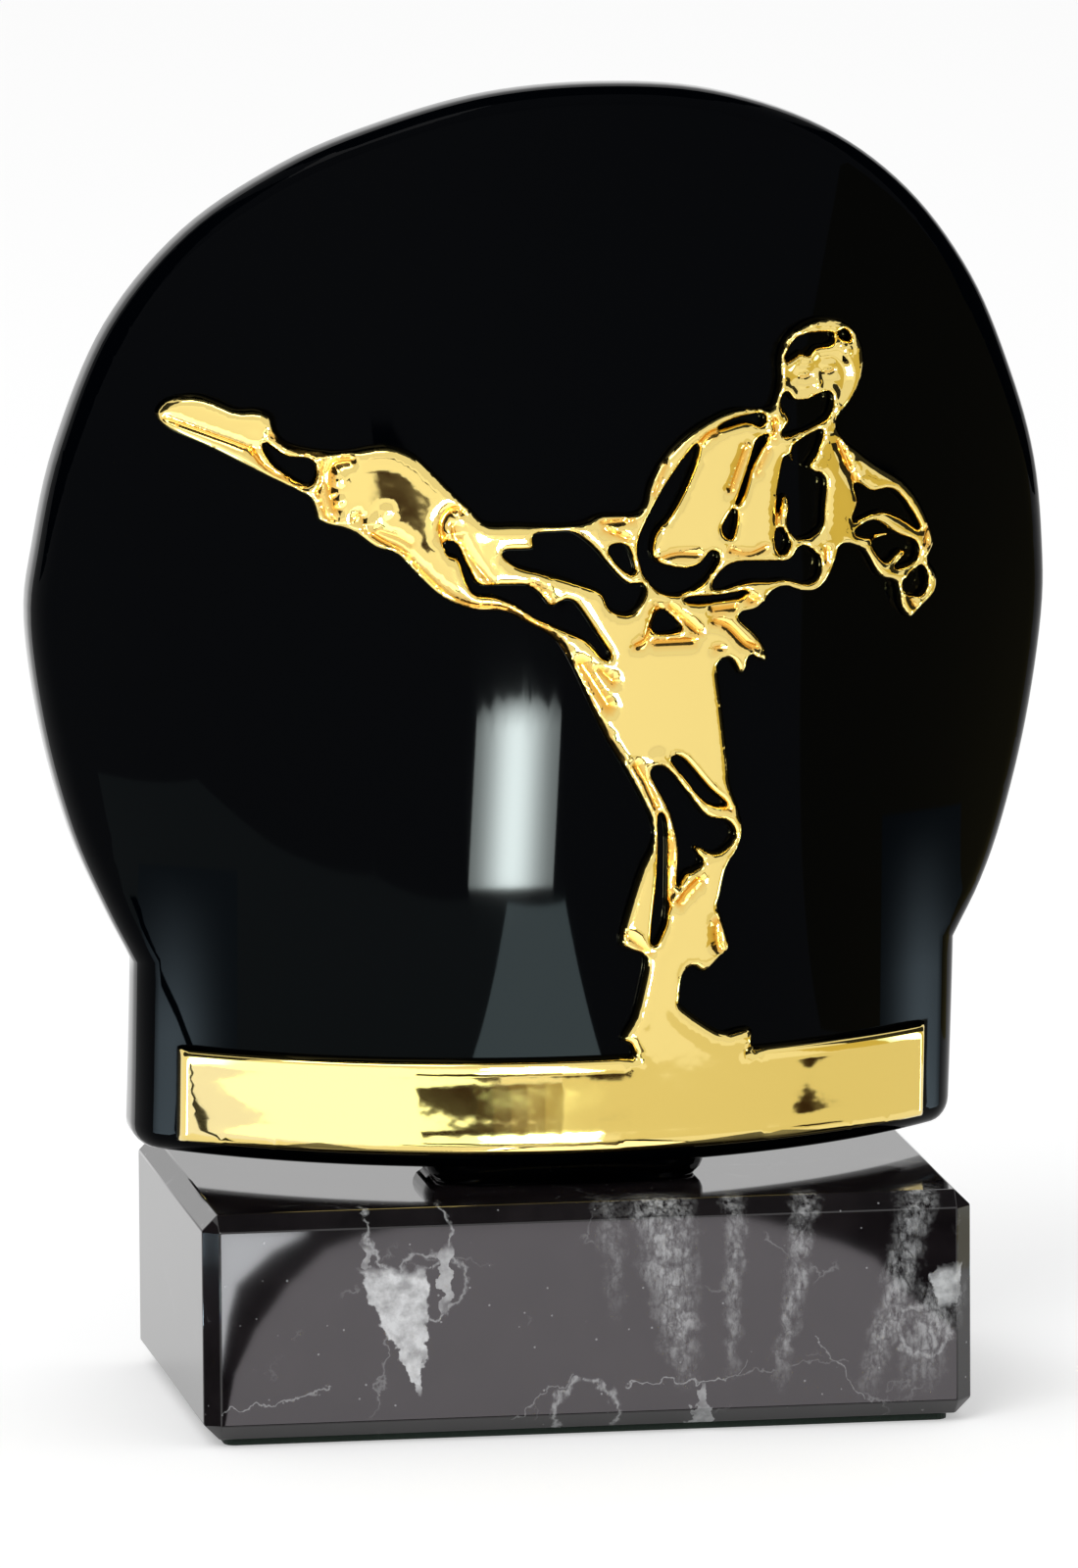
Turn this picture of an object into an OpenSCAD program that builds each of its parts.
// Martial arts trophy: a gold kicking figure and ground band on a bowed black
// shield, bolted down to a chamfered marble block with a felt underside.
// Millimetres, +Z up, origin under the middle of the block, front towards -Y.

/* [Marble base] */
// Width of the marble block, left to right
base_w = 102; // [90:1:130]
// Depth of the marble block, front to back
base_d = 65; // [55:1:90]
// Height of the marble block
base_h = 30; // [26:0.5:45]
// Size of the chamfer along every edge of the block
base_chamfer = 2.1; // [0.5:0.1:4]
// Thickness of the felt sheet under the block
felt_t = 1; // [0.6:0.1:2]
// Margin between the felt and the edge of the block's flat underside
felt_margin = 0.8; // [0.4:0.1:3]

/* [Shield] */
// Height of the shield above the top of the marble
shield_h = 146; // [110:1:180]
// Width of the shield at its widest
shield_w = 136; // [120:1:160]
// Half the width of the straight skirt at the foot of the shield
skirt_half = 55; // [45:0.5:60]
// Height of the skirt above the marble
skirt_h = 28; // [24:0.5:40]
// Corner radius of the skirt
skirt_corner = 3; // [1:0.5:6]
// Gap between the marble and the lower edge of the shield
shield_gap = 2.6; // [1.5:0.1:5]
// Thickness of the shield
shield_t = 6; // [4:0.5:8]
// Radius of the shield's bow at the level of the marble
bow_r = 68; // [60:1:90]
// Half angle by which the bow opens out towards the top
flare = 23; // [15:0.5:26]
// Distance of the shield's front line ahead of the middle of the block
front_y = 20; // [16:0.5:24]

/* [Foot] */
// Width of the foot under the shield
foot_w = 34; // [30:1:44]
// Depth of the foot, front to back
foot_d = 17; // [15:0.5:24]
// Width of the foot's narrower front lip
lip_w = 24; // [16:1:30]
// Height of the boss behind the shield
boss_h = 14; // [12:0.5:24]

/* [Relief] */
// Thickness of the gold relief
relief_t = 2.2; // [1.5:0.1:3.5]
// Thickness of the adhesive film between relief and shield
bond = 0.1; // [0.05:0.05:0.3]
// Half the length of the ground band
band_half = 50; // [40:0.5:52]
// Height of the lower edge of the ground band above the marble
band_low = 4.6; // [4:0.1:8]
// Height of the ground band
band_h = 12.9; // [9:0.1:14]
// Diameter of the relief's two locating pegs
peg_d = 3; // [2:0.5:4]
// Length of the locating pegs behind the relief
peg_l = 3; // [2:0.25:3]
// Distance between the locating pegs
peg_pitch = 24; // [16:1:60]
// Clearance around and behind each locating peg
peg_play = 0.1; // [0.05:0.05:0.3]

/* [Fixings] */
// Distance between the two screws
screw_pitch = 20; // [14:1:24]
// Thread diameter of the screws
screw_d = 4; // [3:0.5:5]
// Diameter of the screw heads
head_d = 7; // [5.5:0.5:9]
// Height of the screw heads
head_h = 2.8; // [2:0.1:4]
// Depth of the pocket for each screw head
pocket_h = 12; // [8:0.5:16]
// Diameter of the pockets
pocket_d = 12; // [11:0.5:14]
// Outer diameter of the washers
washer_d = 9; // [8:0.5:10]
// Thickness of the washers
washer_t = 0.8; // [0.5:0.1:1.2]
// Clearance around the screws in the marble and washers
screw_play = 0.5; // [0.2:0.1:1]
// Outer diameter of the brass inserts
insert_d = 6; // [5.5:0.5:7]
// Length of the brass inserts
insert_l = 8; // [6:0.5:10]

/* [Hidden] */
$fn = 96;
fine = 360;
big = 400;
eps = 0.01;
bore_play = 0.02;
// how far the foot runs up into the blade
foot_bite = 1;
// how far the screws stop short of the inserts' ends
tip_gap = 0.5;
// share of the blade's thickness that the boss is set into
boss_share = 0.75;
// how far the inserts' holes run past the inserts
insert_relief = 1;

top_z = felt_t + base_h;
felt_w = base_w - 2 * (base_chamfer + felt_margin);
felt_d = base_d - 2 * (base_chamfer + felt_margin);

// the bow is a cone laid back until its front line stands upright
apex_z = top_z - bow_r / tan(flare);
cone_low = 0.4 * bow_r / tan(flare);
cone_high = 2.4 * bow_r / tan(flare);

foot_back = foot_d - front_y + shield_t / 2;
foot_front = foot_back - foot_d;
boss_front = -front_y + boss_share * shield_t;
screw_y = (foot_back + foot_front + shield_t / 2) / 2;
pocket_top = felt_t + pocket_h;
screw_tip = top_z + insert_l - tip_gap;
screw_bore = screw_d + 2 * screw_play;

// round head of the shield, as width and height above the skirt, from its right
// shoulder over the top to its left shoulder; it leans to the right near the top
head_curve = [
    [0.81, 0], [0.872, 0.06], [0.921, 0.13], [0.97, 0.237], [1, 0.356], [0.998, 0.441],
    [0.975, 0.542], [0.919, 0.644], [0.828, 0.76], [0.691, 0.864], [0.515, 0.94],
    [0.294, 0.987], [0.074, 1], [-0.147, 0.991], [-0.353, 0.958], [-0.537, 0.911],
    [-0.718, 0.835], [-0.86, 0.725], [-0.949, 0.585], [-0.988, 0.466], [-1, 0.381],
    [-0.971, 0.258], [-0.92, 0.144], [-0.86, 0.06], [-0.81, 0]
];

// silhouette of the kicking figure, millimetres across and above the marble
figure_outline = [
    // raised foot and shin
    [-52.9, 102.5], [-52.4, 104], [-51, 105], [-48, 105.4], [-45.5, 104.7], [-43, 103.7],
    [-40.3, 103.7], [-38.6, 102.8], [-38.1, 101], [-37, 99.6], [-34.5, 98.7],
    [-30, 98.3], [-26, 99], [-23.5, 99.1], [-20.5, 97.9], [-18, 95.6], [-15.3, 92.8],
    [-12.8, 90.3], [-11, 88.8], [-7, 88.7], [-2, 88.4], [1.5, 88.7], [4, 89.6], [9, 89.8],
    // bent back and collar
    [10.5, 93.5], [12.3, 96.6], [15, 99.3], [18, 101.2], [22, 102.7], [26.5, 102.5],
    // head
    [27.6, 103.6], [28.1, 106], [28.1, 109], [29.1, 111.6], [31.6, 113.5], [34.4, 114.1],
    [37.4, 113.4], [39.4, 111.4], [40.3, 108.5], [39.9, 105.5], [38.5, 102.8], [36.5, 100.3],
    // shoulder, arm and fist
    [37.1, 98.2], [39, 96.4], [42, 94], [45.5, 91.7], [47.8, 89.1], [49.6, 85.6],
    [50.5, 82.5], [49.6, 80.6], [50.9, 78.3], [50.7, 76], [48.5, 74], [46.8, 72.8],
    [45.3, 74.8], [44.7, 77.8], [42.3, 78.9], [40, 82.5], [37.2, 83.5], [36.4, 81.9],
    // jacket hem and belt ends
    [35.2, 79.3], [33.3, 77.7], [30.8, 77.9], [28.8, 78.6], [27, 77.8], [25.2, 76],
    [22.7, 75.2], [25.2, 72.5], [26.6, 69.6], [26, 68.8], [24.2, 69.8], [23.7, 68.2],
    [22.7, 67.4], [21.4, 69.4], [19.8, 68.9],
    // standing leg, back edge
    [20.2, 64.2], [20.9, 58], [21.4, 53], [22.5, 49.5], [23.1, 46.7], [22.3, 44],
    [20.9, 41.8], [20, 38.1], [19.7, 36.5], [21.2, 31.4], [20, 30], [17.7, 28], [16, 28.8],
    [14.8, 27.8], [14.4, 25], [14.8, 23.5], [19.8, 20], [22.5, 20.1], [24.2, 19.9], [24.4, 17],
    // inside the ground band
    [24.4, 10], [8, 10],
    // standing leg, front edge
    [7.8, 18], [6.3, 19.7], [7.8, 22.5], [8.7, 25.5], [9.5, 30.3], [7.2, 31.6], [6.1, 33],
    [7.7, 38.8], [9.1, 42.7], [10.5, 45.4], [10.6, 48.2], [7.7, 54.2], [4.2, 60.3], [1.6, 66],
    [-0.6, 70.7], [-2.7, 73.5], [-6, 75.5], [-9, 77], [-13, 77.3], [-17, 79], [-20, 81.8],
    [-22.7, 84.6], [-25.5, 85.5], [-28.5, 87.6], [-32.5, 88.9], [-33.2, 90.7], [-34.3, 92.4],
    [-40.3, 95.3], [-46, 98.2], [-51.3, 100.6]
];

// openings through the figure, where the black of the shield shows
figure_voids = [
    // ankle
    [[-39.5, 99.1], [-38.5, 98.6], [-36.7, 97.4], [-33.8, 97.1], [-33, 95.6], [-34, 93.9],
     [-36.7, 95.2], [-38.7, 97.1]],
    // slit from the knee along the lower edge of the thigh
    [[-16.4, 86.2], [-15.1, 86], [-13.5, 82.6], [-12.3, 80.6], [-9.5, 80.4], [-6, 80.3],
     [-4.3, 79.2], [-2.8, 77.5], [-1, 78.2], [0.4, 77.8], [2.8, 74.3], [4.9, 71],
     [4.2, 70.6], [2, 73], [-1.2, 74.6], [-4.5, 75.9], [-7.2, 77.8], [-10, 79.1],
     [-12.6, 79.5], [-13.8, 81.5], [-14.7, 84.1], [-16.2, 84.9]],
    // between the top line of the leg and the thigh
    [[-8.8, 84.9], [-5, 85.2], [-4.8, 87], [-2, 87.3], [0.2, 87.1], [2.7, 85.2], [4.7, 82.9],
     [7.3, 80.2], [9.5, 80], [9.3, 78.2], [7.7, 76.4], [5.2, 77.1], [4, 79.3], [0.5, 80.8],
     [-3.5, 82.1], [-7.2, 83.2]],
    // small oval in front of the waist
    [[5.2, 85.1], [7.2, 85.2], [8.4, 82], [7.4, 81.8], [5.5, 83.8]],
    // crescent between the back and the jacket
    [[16.9, 98.2], [14.8, 95.8], [12.3, 92.3], [10.5, 89], [9.1, 85.8], [9.2, 82.8],
     [11, 79.8], [14, 78.6], [17.3, 79.8], [19.6, 82.6], [18.9, 83.9], [16.9, 82.1],
     [14, 81.9], [10.8, 83.4], [11, 86.7], [13.1, 89.2], [15, 92.5], [16.6, 96.2]],
    // top of the shoulder
    [[19.9, 100.2], [23.6, 101], [25.8, 100.4], [25.7, 101.8], [22, 101.3]],
    // slits between the jacket's panels
    [[22.4, 90.2], [23.2, 91.3], [24.4, 94.8], [26.5, 98.6], [25.2, 98.2], [23.9, 94.5]],
    [[22, 89.4], [21.3, 88.5], [20.5, 86.9], [21.5, 85.7], [22.1, 88]],
    // above the belt
    [[15.6, 78], [19, 78], [23.5, 78.4], [22.5, 77.6], [18.5, 77.3], [15.6, 77.5]],
    // between the jacket's hem and the belt
    [[19.1, 79.5], [20, 81], [22.3, 82.2], [27, 82], [29.8, 82.1], [31.4, 83.8], [33.6, 82.2],
     [33.5, 79.7], [31.8, 79], [29.3, 79.7], [27, 79.7], [24, 79.8], [20.3, 78.8]],
    // open front of the jacket
    [[29.1, 95.8], [30.2, 95.3], [30.5, 97.3], [33.9, 99], [33.3, 96.5], [32, 94.2],
     [34.3, 92.7], [34.2, 89], [33.8, 86.2], [31.2, 85], [29.6, 86.4], [29.6, 90.4],
     [28.6, 90.7], [28.1, 88.6], [28.1, 91]],
    // loop of the jacket's tie
    [[28.2, 86.5], [29.6, 84.5], [28.6, 83], [27.8, 84.8]],
    // under the chin
    [[28.8, 99], [32, 99.5], [34.9, 101.2], [35.2, 103.9], [32.4, 103.2], [30.3, 103.2],
     [29.2, 104.3], [28.6, 102.9], [29.9, 100.8]],
    // hair
    [[29.2, 108.8], [31.2, 109.8], [32.2, 109.4], [33.2, 110.3], [35.4, 110.6], [35.6, 111.7],
     [33, 111.9], [30.6, 111.3]],
    [[36.5, 111.6], [38.1, 110.9], [37.6, 112.1]],
    // inside the arm
    [[39, 91.5], [41.3, 90.2], [44, 90.3], [46.3, 88.1], [48.2, 84.8], [45.7, 86.5],
     [42.6, 87.7], [38.8, 86.7], [39.5, 89.2]],
    [[39.1, 85.2], [41.5, 86.4], [44.7, 84.3], [47.6, 82.8], [47.4, 80.6], [44.8, 80],
     [46.5, 81.7], [45.2, 82.2], [43.4, 80.9], [41.5, 83.5], [43.7, 84.4], [40.7, 84.4]],
    // fist
    [[46.1, 77.9], [48.5, 79.6], [49.3, 77.8], [48.5, 76], [46.4, 76.5]],
    // triangle below the belt
    [[12, 76.5], [14.5, 74], [11, 73.8]],
    // knee and shin of the standing leg
    [[13.4, 56.6], [14.8, 56.5], [18.3, 52.4], [20.6, 50.3], [18.3, 50.7], [16, 53]],
    [[10.6, 54.8], [12, 55.6], [14.3, 53.5], [17.7, 48.9], [20.7, 47.9], [21.8, 45.9],
     [19.5, 44], [16.4, 44.8], [17.2, 42.6], [15, 41.6], [14, 39.9], [14.2, 45], [13, 50]],
    [[11.5, 49.2], [12.5, 47.4], [12.4, 38], [12, 34.5], [10.5, 32.6], [11.4, 42]]
];

// one point of a smooth closed curve through p, between p[i] and p[i + 1]
function spline_point(p, i, t) =
    let (n = len(p), a = p[(i + n - 1) % n], b = p[i], c = p[(i + 1) % n], d = p[(i + 2) % n])
    0.5 * (2 * b + (c - a) * t + (2 * a - 5 * b + 4 * c - d) * t * t
           + (3 * b - a - 3 * c + d) * t * t * t);

// closed curve through the points p, with the given number of steps to each span
function smooth(p, steps) =
    [for (i = [0 : len(p) - 1], k = [0 : steps - 1]) spline_point(p, i, k / steps)];

// open curve through the points p, whose ends are kept as corners
function smooth_open(p, steps) =
    let (n = len(p), q = concat([2 * p[0] - p[1]], p, [2 * p[n - 1] - p[n - 2]]))
    concat([for (i = [1 : n - 1], k = [0 : steps - 1]) spline_point(q, i, k / steps)], [p[n - 1]]);

// wall between two offsets from the bow's surface, positive towards the front
module bow_wall(inner, outer) {
    r0 = inner / sin(flare);
    r1 = outer / sin(flare);
    translate([0, -front_y, apex_z])
        rotate([-flare, 0, 0])
            rotate_extrude($fn = fine)
                polygon([
                    [(cone_low + r0) * tan(flare), cone_low], [(cone_low + r1) * tan(flare), cone_low],
                    [(cone_high + r1) * tan(flare), cone_high], [(cone_high + r0) * tan(flare), cone_high]
                ]);
}

// distance back to the shield's face at x across and h above the marble
function bow_y(x, h) =
    let (r = bow_r + h * tan(flare), k = 1 - tan(flare) * tan(flare))
    -front_y + (r - sqrt(r * r - k * x * x)) / k;

// stands a flat outline up on the marble and runs it through the front of the bow
module upright() {
    translate([0, front_y, top_z])
        rotate([90, 0, 0])
            linear_extrude(height = 3 * front_y) children();
}

// front view of the shield: rounded skirt below, round head above
module shield_outline() {
    rise = shield_h - skirt_h;
    low = shield_gap + skirt_corner;
    side = skirt_half - skirt_corner;
    right = [for (a = [-90 : 15 : 0]) [side + skirt_corner * cos(a), low + skirt_corner * sin(a)]];
    left = [for (a = [180 : 15 : 270]) [-side + skirt_corner * cos(a), low + skirt_corner * sin(a)]];
    // the head's two ends, at height 0, stand on the skirt's corners
    head = [for (q = head_curve)
        [(q[1] == 0 ? sign(q[0]) * skirt_half : q[0] * shield_w / 2), skirt_h + q[1] * rise]];
    polygon(concat(right, smooth_open(head, 4), left));
}

// front view of the figure, less the openings where the shield shows
module figure_front() {
    difference() {
        polygon(smooth(figure_outline, 2));
        for (v = figure_voids) polygon(smooth(v, 2));
    }
}

// front view of the ground band
module band_front() {
    translate([-band_half, band_low]) square([2 * band_half, band_h]);
}

// places its child at both screws, from the given height upwards
module at_screws(z) {
    for (s = [-1, 1]) translate([s * screw_pitch / 2, screw_y, z]) children();
}

// rod at both peg places, from before to behind the shield's face
module peg_rods(d, before, behind) {
    h = band_low + band_h / 2;
    for (x = [-peg_pitch / 2, peg_pitch / 2])
        translate([x, bow_y(x, h) - before, top_z + h])
            rotate([-90, 0, 0]) cylinder(d = d, h = before + behind);
}

// bar along Z with its four long edges chamfered
module chamfered_bar(w, d, h) {
    c = base_chamfer;
    linear_extrude(height = h, center = true)
        polygon([
            [-w / 2 + c, -d / 2], [w / 2 - c, -d / 2], [w / 2, -d / 2 + c], [w / 2, d / 2 - c],
            [w / 2 - c, d / 2], [-w / 2 + c, d / 2], [-w / 2, d / 2 - c], [-w / 2, -d / 2 + c]
        ]);
}

module marble_base() {
    color([0.13, 0.12, 0.13])
        difference() {
            translate([0, 0, felt_t + base_h / 2])
                intersection() {
                    chamfered_bar(base_w, base_d, big);
                    rotate([90, 0, 0]) chamfered_bar(base_w, base_h, big);
                    rotate([0, 90, 0]) chamfered_bar(base_h, base_d, big);
                }
            at_screws(felt_t - eps) cylinder(d = pocket_d, h = pocket_h + eps);
            at_screws(felt_t) cylinder(d = screw_bore, h = base_h + eps);
        }
}

// plan of the foot: a wide back part with a narrower lip in front
module foot_plan() {
    polygon([
        [-foot_w / 2, foot_back], [-foot_w / 2, foot_front + shield_t / 2],
        [-lip_w / 2, foot_front], [lip_w / 2, foot_front],
        [foot_w / 2, foot_front + shield_t / 2], [foot_w / 2, foot_back]
    ]);
}

module back_shield() {
    color([0.02, 0.02, 0.025])
        difference() {
            union() {
                intersection() {
                    bow_wall(-shield_t, 0);
                    upright() shield_outline();
                }
                translate([0, 0, top_z]) linear_extrude(height = shield_gap + foot_bite) foot_plan();
                translate([-foot_w / 2, boss_front, top_z])
                    cube([foot_w, foot_back - boss_front, boss_h]);
            }
            at_screws(top_z - eps) cylinder(d = insert_d, h = insert_l + insert_relief);
            peg_rods(peg_d + 2 * peg_play, relief_t, peg_l + peg_play);
        }
}

module gold_relief() {
    color([0.85, 0.72, 0.35]) {
        intersection() {
            bow_wall(bond, bond + relief_t);
            union() {
                upright() figure_front();
                upright() band_front();
            }
        }
        peg_rods(peg_d, bond + relief_t / 2, peg_l);
    }
}

module mounting_screws() {
    color([0.6, 0.6, 0.62]) {
        at_screws(pocket_top - washer_t - head_h) cylinder(d = head_d, h = head_h);
        at_screws(pocket_top - washer_t - eps)
            cylinder(d = screw_d, h = screw_tip - pocket_top + washer_t);
    }
}

module washers() {
    color([0.7, 0.7, 0.72])
        at_screws(pocket_top - washer_t)
            difference() {
                cylinder(d = washer_d, h = washer_t);
                translate([0, 0, -eps]) cylinder(d = screw_bore, h = washer_t + 2 * eps);
            }
}

module threaded_inserts() {
    color([0.75, 0.6, 0.25])
        at_screws(top_z)
            difference() {
                cylinder(d = insert_d - 2 * bore_play, h = insert_l);
                translate([0, 0, -eps]) cylinder(d = screw_d + 2 * bore_play, h = insert_l + 2 * eps);
            }
}

module felt_sheet() {
    color([0.08, 0.3, 0.16])
        translate([-felt_w / 2, -felt_d / 2, 0]) cube([felt_w, felt_d, felt_t]);
}

marble_base();
back_shield();
gold_relief();
mounting_screws();
washers();
threaded_inserts();
felt_sheet();
